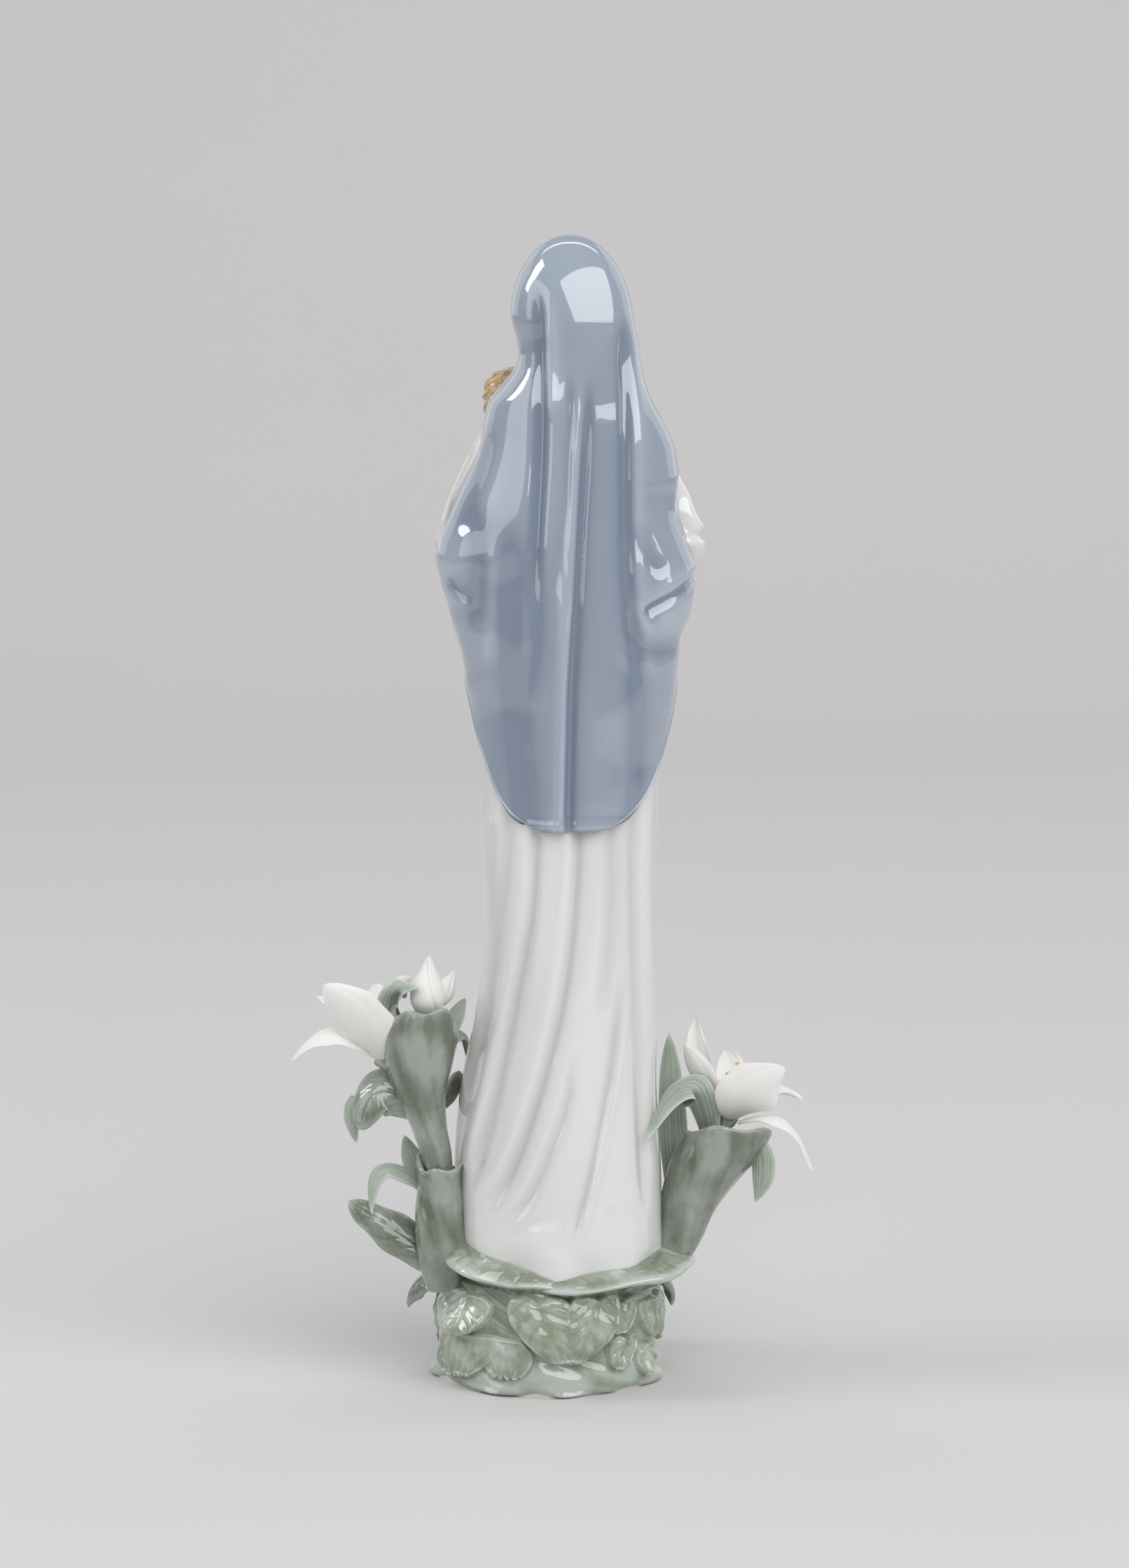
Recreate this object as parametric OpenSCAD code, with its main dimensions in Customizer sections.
// Standing Madonna with child on a leafy mound with lilies, in glazed porcelain.
// The figure faces -Y, +Z is up and +X is her left side.
// Origin: centre of the foot, on the ground. Millimetres.

/* [Mound] */
// Width of the leafy mound
mound_w = 82; // [70:1:100]
// Depth of the mound
mound_d = 74; // [64:1:92]
// Height of the mound, where the hem of the dress rests
mound_h = 40; // [34:1:50]
// Thickness of the flat foot that closes the mound
foot_t = 3; // [2:0.5:5]
// Diameter of the firing vent in the foot
vent_d = 8; // [4:0.5:14]
// Thickness of the leaves modelled on the mound's side
relief_t = 1.2; // [0.8:0.1:2]
// How far the middle of such a leaf stands out beyond that
relief_bulge = 2; // [1:0.1:3]

/* [Figure] */
// Height of the dress, hem to neckline
dress_h = 312; // [250:1:375]
// Width of the dress at the hem
hem_w = 74; // [62:1:89]
// Depth of the dress at the hem
hem_d = 66; // [55:1:79]
// Wall of the hollow casts
cast_wall = 3.5; // [2.5:0.1:4.5]
// Thickness of the mantle
mantle_t = 2.5; // [1.8:0.1:3]
// Depth of the pressed folds in the dress
fold_depth = 0.9; // [0:0.1:1.5]
// Length of the mantle below the neckline
mantle_l = 145; // [120:1:175]
// Height of the mother's head, chin to crown
head_h = 46; // [40:0.5:48]
// Radius of the child's head
child_head_r = 13.2; // [11:0.1:14]
// Thickness of the hair
hair_t = 1.6; // [1:0.1:2]

/* [Flowers] */
// Thickness of a petal
petal_t = 1.1; // [0.8:0.1:1.5]
// Thickness of a thin unglazed leaf
thin_leaf_t = 1.1; // [0.8:0.1:1.5]
// Thickness of a glazed leaf
glazed_leaf_t = 2.2; // [1.6:0.1:3]
// Wall of the hollow leaf stalks
stalk_wall = 2.2; // [1.6:0.1:3]
// Diameter of a stamen's stem
stamen_d = 0.9; // [0.6:0.1:1.2]
// Diameter of an anther
anther_d = 1.8; // [1.2:0.1:2.4]

/* [Fit] */
// Gap left between pieces that are luted together
joint_gap = 0.15; // [0.05:0.01:0.3]

/* [Hidden] */

neck_z = mound_h + dress_h;          // neckline of the dress
hem_side = hem_w / 2;                // the hem's edge on each side of her
hem_back = hem_d / 2;
mound_x = 3;                         // the mound sits a little towards her left
vent_from_middle = mound_d / 4;      // the vent lies towards the front
head_c = [-4.5, -4, neck_z + 40];    // centre of the mother's head
head_turn = [14, 5, 18];             // looking down, leaning and turned to the child
child_c = [13, -24, neck_z + 3.5];   // centre of the child's head
child_turn = [4, 8, -12];
veil_sides = 20;                     // strips across the mantle
dress_sides = 28;
cast_sides = 28;
cup_sides = 14;                      // sides of a hollow stalk
head_sides = 16;
arm_sides = 12;
blade_steps = 5;                     // a leaf or petal, along and across
blade_strips = 4;
relief_gap = joint_gap + 0.15;       // clears the flats of the mound's side

// ---- curves, rings and skins ----
function unit(v) = v / norm(v);
function mix(a, b, t) = a + (b - a) * t;
function clamp(v, low, high) = max(low, min(high, v));

// The row of a table whose first column is nearest below h, eased to the next one
function row_at(rows, h, i = 0) =
    i >= len(rows) - 2 || h <= rows[i + 1][0]
        ? mix(rows[i], rows[i + 1],
            clamp((h - rows[i][0]) / (rows[i + 1][0] - rows[i][0]), 0, 1))
        : row_at(rows, h, i + 1);

// A curve that starts at a, passes through b half way and ends at c
function through(a, b, c, t) =
    let (pull = 2 * b - (a + c) / 2)
    mix(mix(a, pull, t), mix(pull, c, t), t);
function through_dir(a, b, c, t) = unit(through(a, b, c, t + 0.02) - through(a, b, c, t - 0.02));

function ellipse_ring(c, rx, ry, n) =
    [for (k = [0:n - 1]) [c.x + rx * cos(360 * k / n), c.y + ry * sin(360 * k / n), c.z]];

// A ring square to the direction dir; up says which way its second radius points
function turned_ring(c, dir, up, rx, ry, n) =
    let (side = unit(cross(up, dir)), over = cross(dir, side))
    [for (k = [0:n - 1]) c + side * rx * cos(360 * k / n) + over * ry * sin(360 * k / n)];

function path_dir(path, i) = unit(path[min(i + 1, len(path) - 1)] - path[max(i - 1, 0)]);
function path_rings(path, radii, grow, up, n) =
    [for (i = [0:len(path) - 1])
        turned_ring(path[i], path_dir(path, i), up, radii[i].x + grow, radii[i].y + grow, n)];

function reversed(list) = [for (i = [len(list) - 1:-1:0]) list[i]];
function quad(a, b, c, d) = [[a, b, c], [a, c, d]];
function ring_faces(m, n, wrap) =
    [for (i = [0:m - (wrap ? 1 : 2)], j = [0:n - 1])
        let (i2 = (i + 1) % m, j2 = (j + 1) % n)
        each quad(i * n + j, i2 * n + j, i2 * n + j2, i * n + j2)];

// A solid skin over a row of rings, closed by a flat cap at each end
module skin(rings) {
    m = len(rings);
    n = len(rings[0]);
    caps = [[for (j = [0:n - 1]) j], [for (j = [n - 1:-1:0]) (m - 1) * n + j]];
    polyhedron([for (ring = rings) each ring], concat(ring_faces(m, n, false), caps));
}

// A wall that is open at both ends, from outer and inner rings
module open_wall(outer, inner) {
    rings = concat(outer, reversed(inner));
    polyhedron([for (ring = rings) each ring], ring_faces(len(rings), len(rings[0]), true));
}

// A slab between two grids of points; the first one is the outer face
module slab(outer, inner) {
    m = len(outer);
    n = len(outer[0]);
    lower = m * n;
    polyhedron(
        concat([for (row = outer) each row], [for (row = inner) each row]),
        concat(
            [for (i = [0:m - 2], j = [0:n - 2])
                let (a = i * n + j)
                each concat(
                    quad(a, a + 1, a + n + 1, a + n),
                    quad(lower + a, lower + a + n, lower + a + n + 1, lower + a + 1))],
            [for (j = [0:n - 2])
                let (a = j, b = (m - 1) * n + j)
                each concat(
                    quad(a + 1, a, lower + a, lower + a + 1),
                    quad(b, b + 1, lower + b + 1, lower + b))],
            [for (i = [0:m - 2])
                let (a = i * n, b = i * n + n - 1)
                each concat(
                    quad(a, a + n, lower + a + n, lower + a),
                    quad(b + n, b, lower + b, lower + b + n))]));
}

// The grid moved along its own normals, inwards by depth
function grid_normal(grid, i, j) =
    let (
        m = len(grid) - 1,
        n = len(grid[0]) - 1,
        along = grid[min(i + 1, m)][j] - grid[max(i - 1, 0)][j],
        across = grid[i][min(j + 1, n)] - grid[i][max(j - 1, 0)])
    unit(cross(along, across));
function sunk(grid, depth) =
    [for (i = [0:len(grid) - 1])
        [for (j = [0:len(grid[0]) - 1]) grid[i][j] - grid_normal(grid, i, j) * depth]];

module sheet(grid, thick) {
    slab(sunk(grid, -thick / 2), sunk(grid, thick / 2));
}

// Cuts the children after the first from the first, as one mesh
module carved() {
    resize([0, 0, 0])
        difference() {
            children(0);
            children([1:$children - 1]);
        }
}

// A leaf or petal: root, the point it passes half way, tip, the way its face looks
function blade_width(t, belly) = pow(sin(180 * (0.03 + 0.94 * pow(t, belly))), 0.8);
function blade(root, half, tip, face, width, cup, belly = 0.9) =
    [for (i = [0:blade_steps])
        let (
            t = i / blade_steps,
            p = through(root, half, tip, t),
            dir = through_dir(root, half, tip, t),
            side = unit(cross(face, dir)),
            out = cross(dir, side),
            reach = width / 2 * blade_width(t, belly))
        [for (j = [0:blade_strips])
            let (s = 2 * j / blade_strips - 1)
            p + side * reach * s + out * cup * reach * s * s]];

// p holds root, half way, tip, face, width and cup; grow adds to it on all sides
module leaf_form(p, thick, grow) {
    along = unit(p[2] - p[0]) * grow;
    sheet(blade(p[0] - along, p[1], p[2] + along, p[3], p[4] + 2 * grow, p[5]), thick + 2 * grow);
}

// ---- the mound ----
// height share, half width share, half depth share
mound_rows = [[0, 0.96, 0.94], [0.08, 1, 0.97], [0.3, 1.02, 1.02], [0.55, 1, 1.02],
    [0.8, 0.97, 1], [1, 0.95, 0.96]];
function mound_ripple(a, h) = 0.7 * sin(5 * a + 40 * h) + 0.5 * sin(9 * a - 30);
function mound_point(a, z, grow) =
    let (
        h = z / mound_h,
        row = row_at(mound_rows, h),
        ripple = mound_ripple(a, h))
    [mound_x + (mound_w / 2 * row[1] + ripple + grow) * cos(a),
        (mound_d / 2 * row[2] + ripple + grow) * sin(a), z];
function mound_ring(z, grow) = [for (k = [0:cast_sides - 1]) mound_point(360 * k / cast_sides, z, grow)];
function mound_heights(low) =
    concat([low], [for (row = mound_rows) if (row[0] * mound_h > low) row[0] * mound_h]);

module mound_form(grow) {
    skin([for (z = mound_heights(0)) mound_ring(z, grow)]);
}

module foot_plate() {
    color("#c9cfc4")
        difference() {
            linear_extrude(foot_t)
                polygon([for (p = mound_ring(foot_t, 0)) [p.x, p.y]]);
            translate([mound_x, -vent_from_middle, -1])
                cylinder(d = vent_d, h = foot_t + 2, $fn = 48);
        }
}

module mound() {
    heights = mound_heights(foot_t);
    color("#a9b5a2")
        open_wall([for (z = heights) mound_ring(z, 0)], [for (z = heights) mound_ring(z, -cast_wall)]);
}

// A leaf modelled on the mound's side, round the angle mid, from its top to its tip
module relief_leaf(mid, reach, top, tip, notch = 0) {
    steps = 5;
    strips = 4;
    function heart(t) = pow(sin(180 * (0.1 + 0.86 * pow(t, 0.75))), 0.7);
    function at(t, s, grow) =
        let (
            a = mid + s * reach * heart(t),
            z = mix(top, tip, t) + notch * (abs(s) - 0.5) * (1 - t))
        mound_point(a, z, grow);
    slab(
        [for (i = [0:steps]) [for (j = [0:strips])
            let (t = i / steps, s = 2 * j / strips - 1)
            at(t, -s, relief_t + relief_bulge * (1 - s * s) * sin(180 * t) + relief_gap)]],
        [for (i = [0:steps]) [for (j = [0:strips])
            at(i / steps, 1 - 2 * j / strips, relief_gap)]]);
}

module heart_leaf_back_left() {
    color("#9fb39a") relief_leaf(74, 14.5, mound_h - 3.5, 12, 3);
}
module heart_leaf_back_right() {
    color("#9fb39a") relief_leaf(105.5, 15, mound_h - 3.5, 13, 3);
}
module cup_leaf_mound() {
    color("#9aae95") relief_leaf(38, 17, mound_h - 4, 21, 2);
}
module fan_leaf_left() {
    color("#9aae95") relief_leaf(34, 21, 19.5, 4, 0);
}
module fan_leaf_back() {
    color("#9aae95") relief_leaf(66, 9, 11.5, 3.5, 0);
}
module small_leaves_right() {
    color("#a3b59c") {
        relief_leaf(132, 10, mound_h - 5, 22, 1);
        relief_leaf(154, 9.5, mound_h - 8, 16, 1);
        relief_leaf(134, 10.5, 20.5, 4, 0);
        relief_leaf(175, 10, mound_h - 6, 12, 1);
    }
}
module heart_leaves_front_form() {
    relief_leaf(-106, 14.5, mound_h - 4, 12, 3);
    relief_leaf(-75, 14.5, mound_h - 3.5, 11, 3);
    relief_leaf(-40, 15, mound_h - 5, 14, 2);
    relief_leaf(-141, 15, mound_h - 5, 15, 2);
}
module heart_leaves_front() {
    color("#9fb39a") heart_leaves_front_form();
}
module fan_leaves_front_form() {
    relief_leaf(-90, 12, 10, 3.5, 0);
    relief_leaf(-58, 12, 9.5, 3.5, 0);
    relief_leaf(-123, 12, 10, 3.5, 0);
    relief_leaf(-12, 9, mound_h - 8, 8, 1);
    relief_leaf(-167, 8, mound_h - 8, 9, 1);
}
module fan_leaves_front() {
    color("#9aae95") fan_leaves_front_form();
}

// ---- the dress ----
// height share, half width, half depth, centre x
dress_rows = [[0, hem_side - 0.5, hem_back, -1], [0.03, hem_side + 0.5, hem_back + 1, -1],
    [0.08, hem_side + 1, hem_back, -1], [0.14, hem_side + 1, hem_back - 1, -1],
    [0.22, hem_side - 1, hem_back - 2.5, -1.5], [0.3, hem_side - 3.5, hem_back - 4, -4],
    [0.37, hem_side - 5.5, hem_back - 5, -5], [0.46, hem_side - 5.5, hem_back - 6, -4.5],
    [0.54, hem_side - 4.5, hem_back - 6.8, -4], [0.62, hem_side - 5, hem_back - 7.2, -4.5],
    [0.7, hem_side - 6.5, hem_back - 9, -4], [0.79, hem_side - 11, hem_back - 12, -3.5],
    [0.88, hem_side - 9.5, hem_back - 11.5, -4], [0.95, hem_side - 11, hem_back - 14, -5],
    [0.985, 18, 13, -5.5], [1, 11.4, 11, -5.5]];
function dress_fold(a, h) = fold_depth * min(1, 1.6 * (1 - h)) * sin(7 * a - 300 * h);
function dress_ring(h, grow) =
    let (row = row_at(dress_rows, h))
    [for (k = [0:dress_sides - 1])
        let (a = 360 * k / dress_sides, out = dress_fold(a, h) + grow)
        [row[3] + (row[1] + out) * cos(a), (row[2] + out) * sin(a), mound_h + h * dress_h]];

function dress_rings(grow) = [for (row = dress_rows) dress_ring(row[0], grow)];
module dress_form(grow) {
    bottom = [for (p = dress_ring(0, grow)) p - [0, 0, grow]];
    skin(concat([bottom], dress_rings(grow)));
}

module dress() {
    color("#e4e4e2")
        open_wall(dress_rings(0), dress_rings(-cast_wall));
}

// ---- the mother's head, hair, arms ----
// height, half width, front, back, round the head's centre, at a head height of 46
head_rows = [[-24, 4, -15, -5], [-21, 8.5, -17.5, 1], [-14, 12.5, -18.5, 9], [-5, 15, -19, 15],
    [5, 15.8, -18.5, 17.5], [13, 14, -15.5, 16.5], [19, 9.3, -10, 12], [22, 3, -4, 5]];
head_k = head_h / 46;

module head_skull(grow) {
    translate(head_c) rotate(head_turn)
        skin([for (i = [0:len(head_rows) - 1])
            let (row = head_rows[i], lift = i == 0 ? -grow : i == len(head_rows) - 1 ? grow : 0)
            ellipse_ring([0, (row[2] + row[3]) / 2 * head_k, row[0] * head_k + lift],
                row[1] * head_k + grow, (row[3] - row[2]) / 2 * head_k + grow, head_sides)]);
}

neck_path = [[-5.5, 0, neck_z - 7], [-5.5, 0, neck_z], [-5.8, -0.5, neck_z + 9],
    [-5, -2, neck_z + 18], [-4.5, -3, neck_z + 26]];
neck_radii = [[7.4, 7], [7.4, 7], [7, 7], [7.5, 8], [9, 9]];
module head_form(grow) {
    head_skull(grow);
    skin(path_rings(neck_path, neck_radii, grow, [0, 1, 0], head_sides));
}

module head() {
    color("#efe3d8")
        resize([0, 0, 0])
            head_form(0);
}

module hair() {
    face_cut_w = 27;
    color("#8a6a4a")
        carved() {
            head_skull(hair_t + joint_gap);
            head_form(joint_gap);
            translate(head_c) rotate(head_turn) translate([0, -22, -7]) rotate([-18, 0, 0])
                cube([face_cut_w, 26, 40], center = true);
            child_head_form(joint_gap);
            child_hair_form(joint_gap);
        }
}

right_arm = [[-31, -3, neck_z - 15], [-39, -6, neck_z - 30], [-44, -9, neck_z - 46],
    [-37, -21, neck_z - 50], [-24, -33, neck_z - 46], [-17, -38, neck_z - 44]];
right_arm_r = [[7, 7.5], [8, 8.5], [9.4, 9.4], [9, 9.4], [8.6, 9.6], [8.6, 9.8]];
left_arm = [[20, -7, neck_z - 10], [28.5, -9, neck_z - 26], [33.5, -11, neck_z - 45],
    [28, -23, neck_z - 53], [17, -34, neck_z - 55], [11, -38, neck_z - 55]];
left_arm_r = [[8, 8.5], [8.6, 8.6], [9, 9.2], [8.6, 9], [8.2, 9], [8.2, 9]];

module sleeve_form(path, radii, grow) {
    skin(path_rings(path, radii, grow, [0.1, 0.1, 1], arm_sides));
}

module sleeve_right() {
    color("#e6e6e4")
        carved() {
            sleeve_form(right_arm, right_arm_r, 0);
            dress_form(joint_gap);
        }
}

module sleeve_left() {
    color("#e6e6e4")
        carved() {
            sleeve_form(left_arm, left_arm_r, 0);
            dress_form(joint_gap);
            child_head_form(joint_gap);
            child_hair_form(joint_gap);
        }
}

// A hand: the wrist, the palm, and four fingers with a thumb
module hand_form(wrist, palm, tips, up, grow) {
    fingers = 4;
    finger_r = 1.5;
    side = unit(cross(up, tips - wrist));
    skin(path_rings([wrist, mix(wrist, palm, 0.6), palm], [[4, 3.4], [4.6, 3], [5.4, 2.4]], grow, up, 10));
    for (k = [0:fingers - 1]) {
        off = side * (k - 1.5) * 2.7;
        skin(path_rings([mix(wrist, palm, 0.8) + off * 0.9, palm + off,
            mix(palm, tips, 0.55) + off * 1.05, tips + off],
            [for (k = [1, 1, 0.95, 0.6]) [finger_r * k, finger_r * k]],
            grow, up, 6));
    }
    thumb = mix(wrist, palm, 0.7) + side * 4.5;
    skin(path_rings([mix(wrist, palm, 0.4) + side * 2.5, thumb + side * 1.5,
        thumb + side * 2 + (tips - palm) * 0.4],
        [[1.8, 1.8], [1.6, 1.6], [1.1, 1.1]], grow, up, 6));
}
right_wrist = [-17, -38.5, neck_z - 44];
right_palm = [-8, -46, neck_z - 42];
right_tips = [4, -49.5, neck_z - 40];
left_wrist = [11, -38, neck_z - 55];
left_palm = [1, -44, neck_z - 58];
left_tips = [-11, -46.5, neck_z - 58];

module hand_right() {
    color("#efe3d8")
        carved() {
            hand_form(right_wrist, right_palm, right_tips, [0.1, 1, 0.2], 0);
            sleeve_form(right_arm, right_arm_r, joint_gap);
            child_robe_form(joint_gap);
        }
}
module hand_left() {
    color("#efe3d8")
        carved() {
            hand_form(left_wrist, left_palm, left_tips, [0.1, 0.3, 1], 0);
            sleeve_form(left_arm, left_arm_r, joint_gap);
            child_robe_form(joint_gap);
            child_feet_form(joint_gap);
        }
}

// ---- the child ----
child_path = [[13, -22.5, neck_z - 8.6], [14, -25, neck_z - 14], [15, -28, neck_z - 25],
    [16, -30, neck_z - 38], [10, -36, neck_z - 45], [0, -40, neck_z - 44],
    [-6, -41, neck_z - 50], [-8, -41, neck_z - 56]];
child_radii = [[5, 4.6], [8.8, 7.6], [10.4, 9.2], [11, 10], [9.4, 9.4], [7.6, 7.8], [6.4, 6.6], [5.6, 5.6]];
module child_robe_form(grow) {
    skin(path_rings(child_path, child_radii, grow, [0.3, 1, 0.2], arm_sides));
}
module child_robe() {
    color("#ecebe6")
        carved() {
            child_robe_form(0);
            child_head_form(joint_gap);
            dress_form(joint_gap);
            sleeve_form(right_arm, right_arm_r, joint_gap);
            sleeve_form(left_arm, left_arm_r, joint_gap);
        }
}

module child_head_form(grow) {
    translate(child_c) rotate(child_turn)
        skin([for (i = [0:9])
            let (a = -81 + 18 * i, r = child_head_r + grow)
            ellipse_ring([0, 0, r * sin(a)], r * 0.95 * cos(a), r * cos(a), head_sides)]);
}
module child_head() {
    color("#efe3d8")
        carved() {
            child_head_form(0);
            head_form(joint_gap);
        }
}
module child_hair_form(grow) {
    translate(child_c) rotate(child_turn)
        skin([for (i = [0:7])
            let (a = -36 + 17.5 * i, r = child_head_r + hair_t + joint_gap + grow)
            ellipse_ring([0, 0, r * sin(a)], r * 0.96 * cos(a), r * cos(a), head_sides)]);
}
module child_hair() {
    face_cut = child_head_r * 2;
    color("#b8935a")
        carved() {
            child_hair_form(0);
            child_head_form(joint_gap);
            head_form(joint_gap);
            translate(child_c) rotate(child_turn) translate([0, -face_cut * 0.72, -face_cut * 0.25])
                rotate([-20, 0, 0])
                    cube(face_cut, center = true);
        }
}

module child_arm(path, grow) {
    skin(path_rings(path, [[3.4, 3.4], [3, 3], [2.3, 2.3], [2.6, 1.8], [1.4, 1]], grow, [0.2, 1, 0.3], 10));
}
module child_arms() {
    color("#efe3d8")
        for (path = [
                [[7, -31, neck_z - 17], [2, -35, neck_z - 19], [-2, -32, neck_z - 12],
                    [-4, -28, neck_z - 7], [-5.5, -25, neck_z - 4]],
                [[20, -35, neck_z - 17], [19, -41, neck_z - 23], [13, -44, neck_z - 25],
                    [9, -45, neck_z - 25], [5, -45.5, neck_z - 24]]])
            carved() {
                child_arm(path, 0);
                child_robe_form(joint_gap);
                child_head_form(joint_gap);
                head_form(joint_gap);
                dress_form(joint_gap);
                hand_form(right_wrist, right_palm, right_tips, [0.1, 1, 0.2], joint_gap);
            }
}

module child_foot(at, toe, grow) {
    skin(path_rings([at, mix(at, toe, 0.35) + [0, 0, -0.8], mix(at, toe, 0.8), toe],
        [[2.4, 2.6], [2.6, 2.4], [2.7, 1.8], [1.8, 1]], grow, [0, 0, 1], 10));
}
feet = [[[-9, -40, neck_z - 57], [-13, -47, neck_z - 61]],
    [[-3.5, -43, neck_z - 57], [-5, -50, neck_z - 61]]];
module child_feet_form(grow) {
    for (foot = feet) child_foot(foot[0], foot[1], grow);
}
module child_feet() {
    color("#efe3d8")
        for (foot = feet)
            carved() {
                child_foot(foot[0], foot[1], 0);
                child_robe_form(joint_gap);
                sleeve_form(left_arm, left_arm_r, joint_gap);
                sleeve_form(right_arm, right_arm_r, joint_gap);
            }
}

// ---- the mantle ----
// height above the neckline, centre y, centre x, half width, depth of the back, tilt,
// wrap on her left, wrap on her right
veil_rows = [
    [36, -9, -4.5, 20, 26, 100, 96, 96], [36, -5, -4.5, 21.5, 31.5, 80, 98, 98],
    [36, -2, -4.5, 21.5, 31, 58, 100, 100], [36, 0, -5, 21.5, 25.7, 35, 103, 103],
    [32, 0, -5, 22, 22.5, 15, 106, 106], [28, 0, -7, 22, 22, 5, 108, 108],
    [20, 0, -7.5, 23, 21.5, 0, 100, 106], [12, 0, -6, 27, 21.5, 0, 95, 106],
    [2, 0, -6, 32, 22, 0, 93, 105], [-8, 0, -7, 35, 23, 0, 92, 104]];
// share of the length below the neckline, centre x, half width, back, wraps
cape_rows = [
    [0.12, -6, 38, 24, 92, 100], [0.23, -2.5, 41.5, 25, 92, 90], [0.34, -2.5, 46.5, 26, 104, 89],
    [0.45, -4, 44, 26.5, 108, 106], [0.54, -4, 41, 27, 108, 108],
    [0.62, -4.5, hem_side + 2.5, hem_back - 5.5, 102, 104],
    [0.7, -5.5, hem_side + 0.5, hem_back - 5, 95, 95],
    [0.79, -5, hem_side - 1, hem_back - 4.5, 78, 78],
    [0.87, -4.5, hem_side - 1, hem_back - 4.2, 57, 57],
    [0.94, -4, hem_side - 1, hem_back - 3.8, 38, 38],
    [0.98, -3.5, hem_side - 1, hem_back - 3.5, 22, 22],
    [1, -3, hem_side - 1, hem_back - 3.5, 8, 8]];
mantle_rows = concat(veil_rows,
    [for (r = cape_rows) [-r[0] * mantle_l, 0, r[1], r[2], r[3], 0, r[4], r[5]]]);
mantle_grid = [for (row = mantle_rows)
    [for (j = [0:veil_sides])
        let (
            a = mix(row[6], -row[7], j / veil_sides),
            fold = row[5] > 30 ? 0 : 0.5 * sin(11 * a) * min(1, abs(row[0] - 36) / 60),
            d = (row[4] + fold) * cos(a))
        [row[2] + (row[3] + fold) * sin(a), row[1] + d * cos(row[5]), neck_z + row[0] + d * sin(row[5])]]];

module mantle() {
    color("#8b97a8")
        carved() {
            slab(mantle_grid, sunk(mantle_grid, mantle_t));
            dress_form(joint_gap);
            sleeve_form(right_arm, right_arm_r, joint_gap);
            sleeve_form(left_arm, left_arm_r, joint_gap);
            head_skull(hair_t + 2 * joint_gap);
            child_head_form(joint_gap);
            child_hair_form(joint_gap);
        }
}

// ---- leaves round the hem ----
// from angle a0 to a1; the inner edge hugs the hem, the lip flares out and down
module collar_leaf(a0, a1, z0, z1, reach) {
    steps = 8;
    strips = 2;
    function at(t, s) =
        let (
            a = mix(a0, a1, t),
            w = pow(sin(180 * (0.04 + 0.92 * t)), 0.6) * reach * s,
            base = dress_collar(a))
        [base.x + w * cos(a), base.y + w * sin(a), mix(z0, z1, t) + 3.2 * (1 - s) - 1.6 * s * s];
    sheet([for (i = [0:steps]) [for (j = [0:strips]) at(i / steps, 1 - j / strips)]], glazed_leaf_t);
}
function dress_collar(a) = [-1 + (hem_side + 2.4) * cos(a), (hem_back + 2.6) * sin(a)];

module collar_cut() {
    carved() {
        children(0);
        dress_form(joint_gap);
        mound_form(joint_gap);
    }
}
module back_left_collar_form() {
    collar_leaf(14, 82, mound_h + 11, mound_h + 3.5, 5);
}
module back_right_collar_form() {
    collar_leaf(86, 160, mound_h + 2.5, mound_h + 2.5, 5.5);
}
module front_left_collar_form() {
    collar_leaf(-88, -20, mound_h + 2.5, mound_h + 8, 5);
}
module front_right_collar_form() {
    collar_leaf(-160, -93, mound_h + 6, mound_h + 2.5, 5);
}

module collar_leaf_back_left() {
    color("#9fb09b") collar_cut() back_left_collar_form();
}
module collar_leaf_back_right() {
    color("#9fb09b") collar_cut() back_right_collar_form();
}
module collar_leaf_front_left() {
    color("#9fb09b") collar_cut() front_left_collar_form();
}
module collar_leaf_front_right() {
    color("#9fb09b") collar_cut() front_right_collar_form();
}

// ---- stalks and glazed leaves ----
// Each place is measured from the hem's side and the top of the mound
function left_at(x, y, z) = [hem_side + x, y, mound_h + z];
function right_at(x, y, z) = [-hem_side - x, y, mound_h + z];
function cup_rings(rows, grow) =
    [for (row = rows)
        turned_ring(row[0], unit(row[1]), [0, 1, 0.05], row[2] + grow, row[3] + grow, cup_sides)];

// A hollow leaf stalk that is open at the top, down to the floor row
module cup(rows, floor_row, grow) {
    inner = cup_rings(rows, -stalk_wall - grow);
    top = len(rows) - 1;
    skin(concat(cup_rings(rows, grow), reversed([for (i = [floor_row:top]) inner[i]])));
}
module filled_cup(rows, grow) {
    skin(cup_rings(rows, grow));
}

// centre, direction, half width, half depth
sheath_rows = [
    [left_at(5.5, 11, -3), [0, 0, 1], 8.2, 7], [left_at(5, 12, 10), [0, 0, 1], 8, 7.2],
    [left_at(5.2, 11, 22), [0, 0, 1], 8.6, 7.6], [left_at(5.2, 9.5, 34), [0, 0, 1], 9.3, 8],
    [left_at(5.2, 9, 42), [0, 0, 1], 9, 8]];
stalk_left_rows = [
    [left_at(5.4, 10.5, 22 + joint_gap), [0.1, 0, 1], 4.8, 4.6], [left_at(6, 9.5, 34), [0.1, 0, 1], 5.2, 5],
    [left_at(7.4, 8.5, 46), [0.15, 0, 1], 6, 5.6], [left_at(9.9, 8, 55), [0.2, 0, 1], 6.8, 6.4],
    [left_at(12.4, 7.5, 66), [0.15, 0, 1], 7.8, 7.4], [left_at(13.6, 7, 76), [0, 0, 1], 11.3, 9.4],
    [left_at(13.2, 6.5, 85), [-0.1, 0, 1], 13.9, 11], [left_at(11.2, 6.5, 94), [-0.2, 0, 1], 12, 10.4]];
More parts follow.
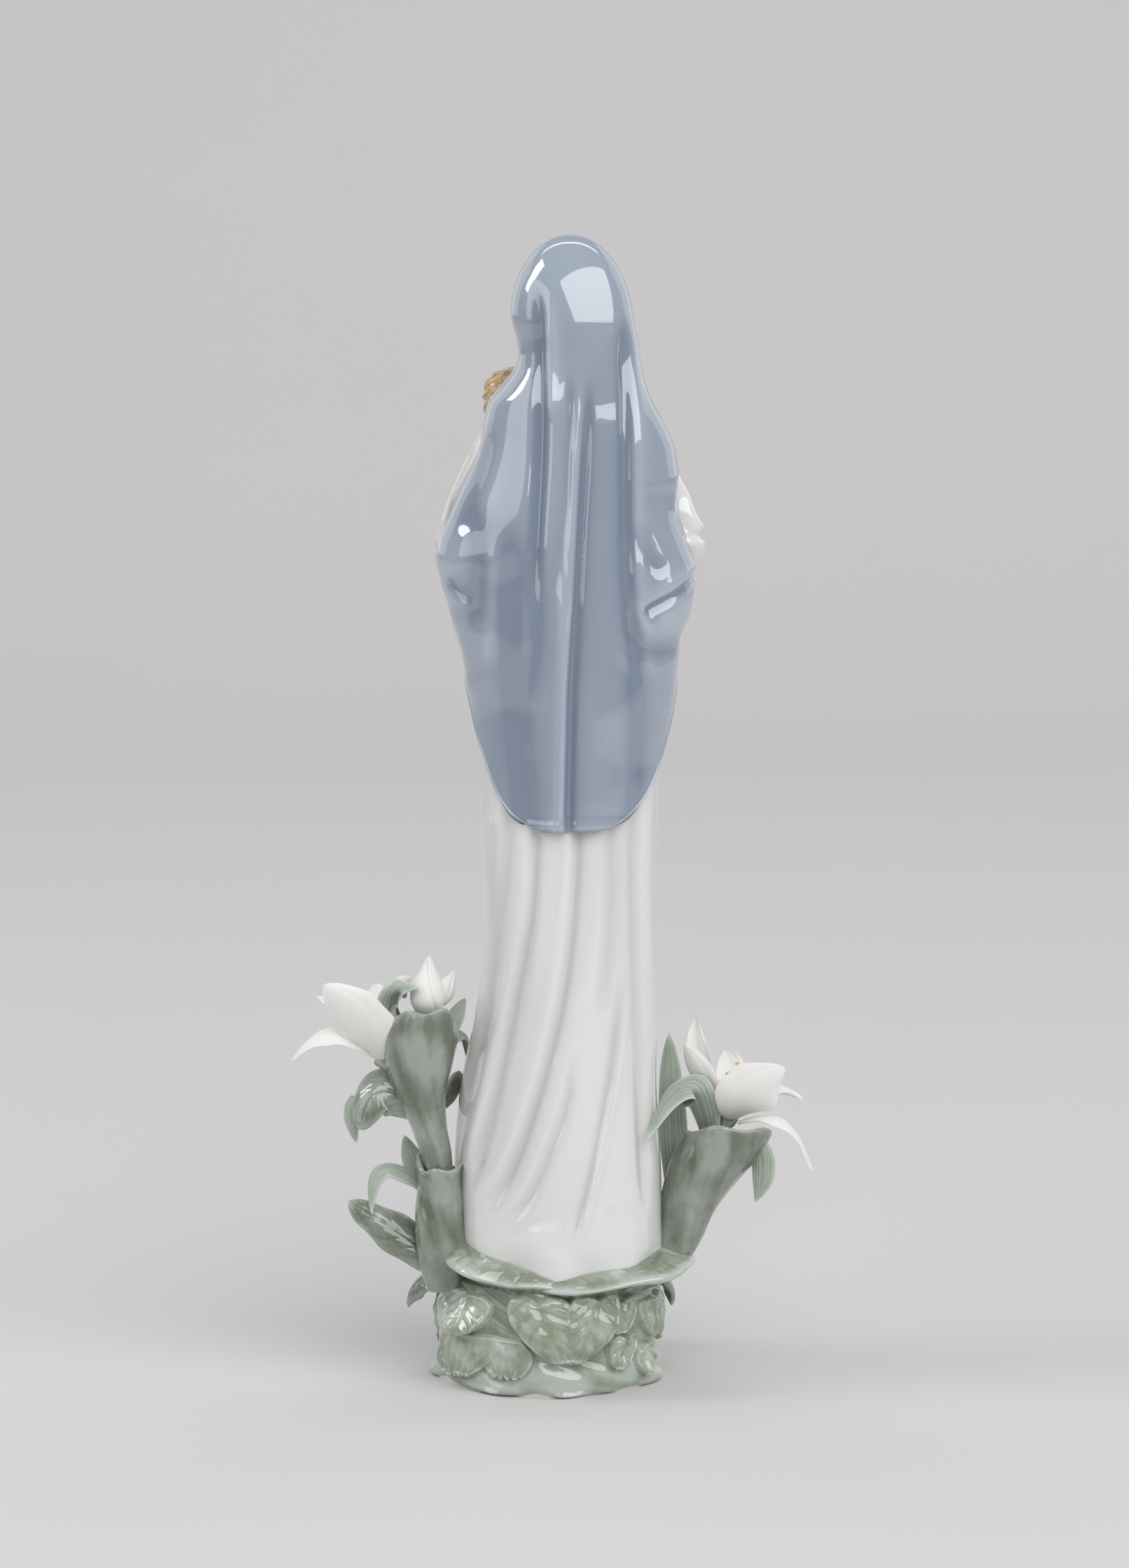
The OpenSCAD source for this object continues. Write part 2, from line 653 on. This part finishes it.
stalk_right_rows = [
    [right_at(7, 6, 0), [-0.25, 0, 1], 6.6, 7], [right_at(8.2, 6, 14), [-0.3, 0, 1], 8.6, 8.4],
    [right_at(11.5, 6, 26), [-0.35, 0, 1], 11, 9.6], [right_at(16.5, 6.5, 38), [-0.35, 0, 1], 13.5, 10.6],
    [right_at(21.5, 7, 47), [-0.2, 0, 1], 15.2, 11], [right_at(24, 7, 53), [0, 0, 1], 15.8, 11]];
sheath_floor = 2;
stalk_left_floor = 4;
stalk_right_floor = 2;

module sheath_left() {
    color("#8fa08c")
        carved() {
            cup(sheath_rows, sheath_floor, 0);
            dress_form(joint_gap);
            mound_form(joint_gap);
            back_left_collar_form();
        }
}
module stalk_left() {
    color("#8fa08c")
        carved() {
            cup(stalk_left_rows, stalk_left_floor, 0);
            dress_form(joint_gap);
            cup(sheath_rows, sheath_floor, joint_gap);
        }
}
module stalk_right() {
    color("#8fa08c")
        carved() {
            cup(stalk_right_rows, stalk_right_floor, 0);
            dress_form(joint_gap);
            mound_form(joint_gap);
            back_right_collar_form();
            front_right_collar_form();
        }
}

// root, half way, tip, face, width, cup
drooping_leaf = [left_at(17.5, 8, 62), left_at(35, 9, 77), left_at(34.5, 13, 57), [0.6, 0.4, 0.5], 15, -0.3];
lobe_leaf = [left_at(9, 2, 58), left_at(2, -4, 67), left_at(-0.5, -8, 72), [0.5, -0.8, 0.3], 8, -0.3];
low_leaf = [left_at(5, 9, 2), left_at(22, 8, 15), left_at(40, 4, 24), [-0.1, 0.9, 0.6], 15, -0.35];
curled_leaf = [right_at(-4, -9, 4), right_at(6, -8, 9), right_at(14.5, -6, 9), [0, 0.5, 0.8], 11, -0.25];

module drooping_leaf_left() {
    color("#8fa08c")
        carved() {
            leaf_form(drooping_leaf, glazed_leaf_t, 0);
            filled_cup(stalk_left_rows, joint_gap);
        }
}
module lobe_leaf_left() {
    color("#8fa08c")
        carved() {
            leaf_form(lobe_leaf, glazed_leaf_t, 0);
            filled_cup(stalk_left_rows, joint_gap);
            dress_form(joint_gap);
        }
}
module low_leaf_left() {
    color("#8fa08c")
        carved() {
            leaf_form(low_leaf, glazed_leaf_t, 0);
            filled_cup(sheath_rows, joint_gap);
            mound_form(joint_gap);
            dress_form(joint_gap);
            back_left_collar_form();
            front_left_collar_form();
        }
}
module side_leaf_left() {
    edge = mound_x + mound_w / 2;
    side_leaf = [[edge - 3, -3, mound_h - 3], [edge + 7, -4, mound_h - 7], [edge + 11, -5, mound_h - 16],
        [0.5, 0, 0.9], 12, -0.3];
    color("#8fa08c")
        carved() {
            leaf_form(side_leaf, glazed_leaf_t, 0);
            mound_form(joint_gap);
            heart_leaves_front_form();
            fan_leaves_front_form();
            dress_form(joint_gap);
            front_left_collar_form();
            leaf_form(low_leaf, glazed_leaf_t, joint_gap);
            filled_cup(sheath_rows, joint_gap);
        }
}
module side_leaf_right() {
    edge = mound_x - mound_w / 2;
    side_leaf = [[edge + 5, -15, mound_h - 4], [edge - 3, -12, mound_h - 9], [edge - 4.5, -11, mound_h - 17],
        [-0.9, -0.3, 0.4], 11, -0.3];
    color("#8fa08c")
        carved() {
            leaf_form(side_leaf, glazed_leaf_t, 0);
            mound_form(joint_gap);
            fan_leaves_front_form();
            heart_leaves_front_form();
            front_right_collar_form();
        }
}
module curled_leaf_right() {
    color("#9fb09b")
        carved() {
            leaf_form(curled_leaf, glazed_leaf_t, 0);
            dress_form(joint_gap);
            mound_form(joint_gap);
            filled_cup(stalk_right_rows, joint_gap);
            front_right_collar_form();
        }
}

// ---- lilies and buds ----
// root, half way, tip, face, width, cup
lily_left_c = left_at(27, 2, 78);
left_petals = [
    [left_at(27.5, 5, 79), left_at(36, 12, 95), left_at(47, 12, 107), [0.5, 1, 0.2], 20, -0.35],
    [left_at(31, 3, 80.5), left_at(46, 6, 87.5), left_at(60, 6, 79), [0.1, 0.5, 1], 9.5, -0.25],
    [left_at(25.5, 0, 80), left_at(24, -4, 96), left_at(17, -10, 107), [-1, 0.2, 0.3], 14, -0.3],
    [left_at(31.2, -1.6, 79.8), left_at(41.5, -10.5, 92), left_at(53, -19, 98), [-0.6, 0.4, 0.9], 12, 0.3],
    [left_at(27.5, -2.6, 80), left_at(29, -16.5, 93), left_at(30, -28, 101), [0, 0.9, 0.5], 13, 0.3]];
lily_right_c = right_at(26, 2.5, 56);
right_petals = [
    [right_at(27, 6.5, 57), right_at(33, 13, 68), right_at(44, 13, 77), [-0.3, 1, 0.2], 21, -0.35],
    [right_at(23, 3.5, 58), right_at(15.5, 1, 71), right_at(9.5, -4, 82.5), [0.9, 0.6, 0.2], 13, -0.35],
    [right_at(23.5, -1, 58.5), right_at(16, -11, 76), right_at(14.5, -21, 90), [0.4, 0.9, 0.4], 8.5, 0.3],
    [right_at(27, -2, 58), right_at(28, -14, 69), right_at(25, -26, 76), [0, 0.9, 0.7], 12, 0.3],
    [right_at(30, 1, 57), right_at(41, -5, 64), right_at(53.5, -7, 61.5), [0.3, 0.2, 1], 12, 0.3],
    [right_at(29.5, 6, 55.5), right_at(46, 10, 56), right_at(56, 10, 38.5), [-0.5, 0.2, 1], 8, -0.2]];

// The flower's foot, with its stem running back along the axis
module calyx_form(c, stem_end, grow) {
    axis = unit(c - stem_end);
    skin([for (row = [[-norm(c - stem_end), 1.4], [-5, 1.8], [-1, 2.8], [1.4, 3.2], [2.4 + grow, 2]])
        turned_ring(c + axis * row[0], axis, [0, 1, 0.1], row[1] + grow, row[1] + grow, 12)]);
}
left_stem_end = left_at(18, 5, 69);
right_stem_end = right_at(13, 6.2, 28);

module flower(list, c, stem_end) {
    for (i = [0:len(list) - 1])
        carved() {
            leaf_form(list[i], petal_t, 0);
            for (k = [0:1:i - 1])
                leaf_form(list[k], petal_t, joint_gap);
            calyx_form(c, stem_end, joint_gap);
            children();
        }
}
module lily_left_petals() {
    color("#e9e6e0")
        flower(left_petals, lily_left_c, left_stem_end) {
            filled_cup(stalk_left_rows, joint_gap);
            leaf_form(drooping_leaf, glazed_leaf_t, joint_gap);
        }
}
module lily_right_petals() {
    color("#e9e6e0")
        flower(right_petals, lily_right_c, right_stem_end)
            cup(stalk_right_rows, stalk_right_floor, joint_gap);
}
module lily_left_calyx() {
    color("#b7c4b0")
        carved() {
            calyx_form(lily_left_c, left_stem_end, 0);
            filled_cup(stalk_left_rows, joint_gap);
            leaf_form(drooping_leaf, glazed_leaf_t, joint_gap);
        }
}
module lily_right_calyx() {
    color("#b7c4b0")
        carved() {
            calyx_form(lily_right_c, right_stem_end, 0);
            cup(stalk_right_rows, stalk_right_floor, joint_gap);
        }
}

module rod(a, b, d) {
    run = b - a;
    translate(a)
        rotate([0, acos(run.z / norm(run)), atan2(run.y, run.x)])
            cylinder(d = d, h = norm(run), $fn = 16);
}
// Stamens with their anthers, and the taller pistil in the middle
module stamens(c, stem_end, lean) {
    count = 5;
    side = unit(cross(lean, [0, 1, 0]));
    over = cross(lean, side);
    foot = c + unit(c - stem_end) * (2.4 + stamen_d / 2 + 2 * joint_gap);
    for (k = [0:count - 1]) {
        ray = side * cos(360 * k / count) + over * sin(360 * k / count);
        top = foot + ray * 2.9 + lean * 14;
        rod(foot + ray * 1.2, top, stamen_d);
        translate(top)
            sphere(d = anther_d, $fn = 16);
    }
    rod(foot, foot + lean * 18, stamen_d);
}
module lily_left_stamens() {
    color("#e5c04a") stamens(lily_left_c, left_stem_end, unit([0.3, -0.1, 1]));
}
module lily_right_stamens() {
    color("#e5c04a") stamens(lily_right_c, right_stem_end, unit([-0.12, -0.3, 1]));
}

// A closed bud on its stem
module bud_form(foot, neck, tip, r, grow) {
    axis = unit(tip - neck);
    long = norm(tip - neck);
    skin(concat(
        [turned_ring(foot, unit(neck - foot), [0, 1, 0.1], 1.6 + grow, 1.6 + grow, 12)],
        [for (row = [[0, 0.3], [0.1, 0.72], [0.3, 1], [0.52, 0.9], [0.75, 0.5], [0.92, 0.18], [1, 0.06]])
            turned_ring(neck + axis * long * row[0], axis, [0, 1, 0.1], r * row[1] + grow, r * row[1] + grow, 12)]));
}
module full_bud(grow) {
    bud_form(left_at(12.4, 7.5, 66.5 + joint_gap), left_at(10.5, 7, 95), left_at(10, 6, 117.5), 6, grow);
}
module half_hidden_bud(grow) {
    bud_form(left_at(9, 2.5, 82), left_at(6.5, -3, 98), left_at(0.5, -14, 109), 3.4, grow);
}
module bud() {
    color("#dfe3da") full_bud(0);
}
module small_bud() {
    color("#dfe3da")
        carved() {
            half_hidden_bud(0);
            cup(stalk_left_rows, stalk_left_floor, joint_gap);
            full_bud(joint_gap);
        }
}

// ---- thin unglazed leaves ----
// root, half way, tip, face, width, cup
folded_leaf = [left_at(20, 6, 82), left_at(24, 5.5, 101), left_at(13.5, 15, 107.5), [-0.6, 0.7, 0.4], 10, -0.3];
bud_leaf = [left_at(4.5, 0, 84), left_at(1, -3, 93), left_at(-3, -10, 99), [0.2, 1, 0.4], 7, -0.3];
inner_leaf = [left_at(6, 1, 80), left_at(-1.5, -10, 86), left_at(-4, -17, 72), [-0.5, 0, 0.9], 7, -0.3];
side_tip_leaf = [left_at(38, 8.5, 66), left_at(38.5, 9, 58), left_at(36.5, 10, 49), [0.2, 1, 0.1], 5.5, -0.2];
upright_leaf = [left_at(9.5, 3, 26), left_at(16, -1, 38), left_at(19.5, -4, 48.5), [0.1, 1, 0], 8.5, -0.3];
arching_leaf = [left_at(10, 5, 29), left_at(27, 7, 38.5), left_at(31, 13, 22.5), [0.3, 0.4, 0.8], 8.5, -0.3];
tall_leaf = [right_at(8, -1.5, 12), right_at(5.5, -9, 55), right_at(4.4, -9, 86), [0.1, 1, 0], 10, -0.25];
draped_leaf = [right_at(20, 3, 40), right_at(11, 9, 69), right_at(-5, 24, 52), [0.5, 0.6, 0.6], 13, -0.25];
hanging_leaf = [right_at(36, 8, 51), right_at(38.5, 8, 38), right_at(35.5, 8, 26.5), [0.3, 1, 0], 8.5, -0.25];

module thin_leaf(leaf) {
    color("#a9bba6")
        carved() {
            leaf_form(leaf, thin_leaf_t, 0);
            children();
        }
}
module thin_leaf_folded() {
    thin_leaf(folded_leaf) {
        filled_cup(stalk_left_rows, joint_gap);
        full_bud(joint_gap);
        calyx_form(lily_left_c, left_stem_end, joint_gap);
        for (p = left_petals) leaf_form(p, petal_t, joint_gap);
    }
}
module thin_leaf_bud() {
    thin_leaf(bud_leaf) {
        filled_cup(stalk_left_rows, joint_gap);
        full_bud(joint_gap);
        half_hidden_bud(joint_gap);
    }
}
module thin_leaf_inner() {
    thin_leaf(inner_leaf) {
        filled_cup(stalk_left_rows, joint_gap);
        dress_form(joint_gap);
        leaf_form(bud_leaf, thin_leaf_t, joint_gap);
    }
}
module thin_leaf_side_tip() {
    thin_leaf(side_tip_leaf)
        leaf_form(drooping_leaf, glazed_leaf_t, joint_gap);
}
module thin_leaf_low_upright() {
    thin_leaf(upright_leaf) {
        filled_cup(sheath_rows, joint_gap);
        leaf_form(low_leaf, glazed_leaf_t, joint_gap);
    }
}
module thin_leaf_low_arching() {
    thin_leaf(arching_leaf) {
        filled_cup(sheath_rows, joint_gap);
        leaf_form(low_leaf, glazed_leaf_t, joint_gap);
        leaf_form(upright_leaf, thin_leaf_t, joint_gap);
    }
}
module thin_leaf_right_tall() {
    thin_leaf(tall_leaf) {
        filled_cup(stalk_right_rows, joint_gap);
        dress_form(joint_gap);
        leaf_form(curled_leaf, glazed_leaf_t, joint_gap);
    }
}
module thin_leaf_right_folded() {
    thin_leaf(draped_leaf) {
        cup(stalk_right_rows, stalk_right_floor, joint_gap);
        dress_form(joint_gap);
        calyx_form(lily_right_c, right_stem_end, joint_gap);
        leaf_form(tall_leaf, thin_leaf_t, joint_gap);
        for (p = right_petals) leaf_form(p, petal_t, joint_gap);
    }
}
module thin_leaf_right_hanging() {
    thin_leaf(hanging_leaf) {
        filled_cup(stalk_right_rows, joint_gap);
        leaf_form(right_petals[5], petal_t, joint_gap);
    }
}

foot_plate();
mound();
dress();
mantle();
head();
hair();
sleeve_right();
sleeve_left();
hand_right();
hand_left();
child_robe();
child_head();
child_hair();
child_arms();
child_feet();
collar_leaf_back_left();
collar_leaf_back_right();
collar_leaf_front_left();
collar_leaf_front_right();
heart_leaf_back_left();
heart_leaf_back_right();
cup_leaf_mound();
fan_leaf_left();
fan_leaf_back();
small_leaves_right();
heart_leaves_front();
fan_leaves_front();
side_leaf_left();
side_leaf_right();
curled_leaf_right();
sheath_left();
stalk_left();
drooping_leaf_left();
lobe_leaf_left();
low_leaf_left();
stalk_right();
lily_left_petals();
lily_left_calyx();
lily_left_stamens();
lily_right_petals();
lily_right_calyx();
lily_right_stamens();
bud();
small_bud();
thin_leaf_folded();
thin_leaf_bud();
thin_leaf_inner();
thin_leaf_side_tip();
thin_leaf_low_upright();
thin_leaf_low_arching();
thin_leaf_right_tall();
thin_leaf_right_folded();
thin_leaf_right_hanging();
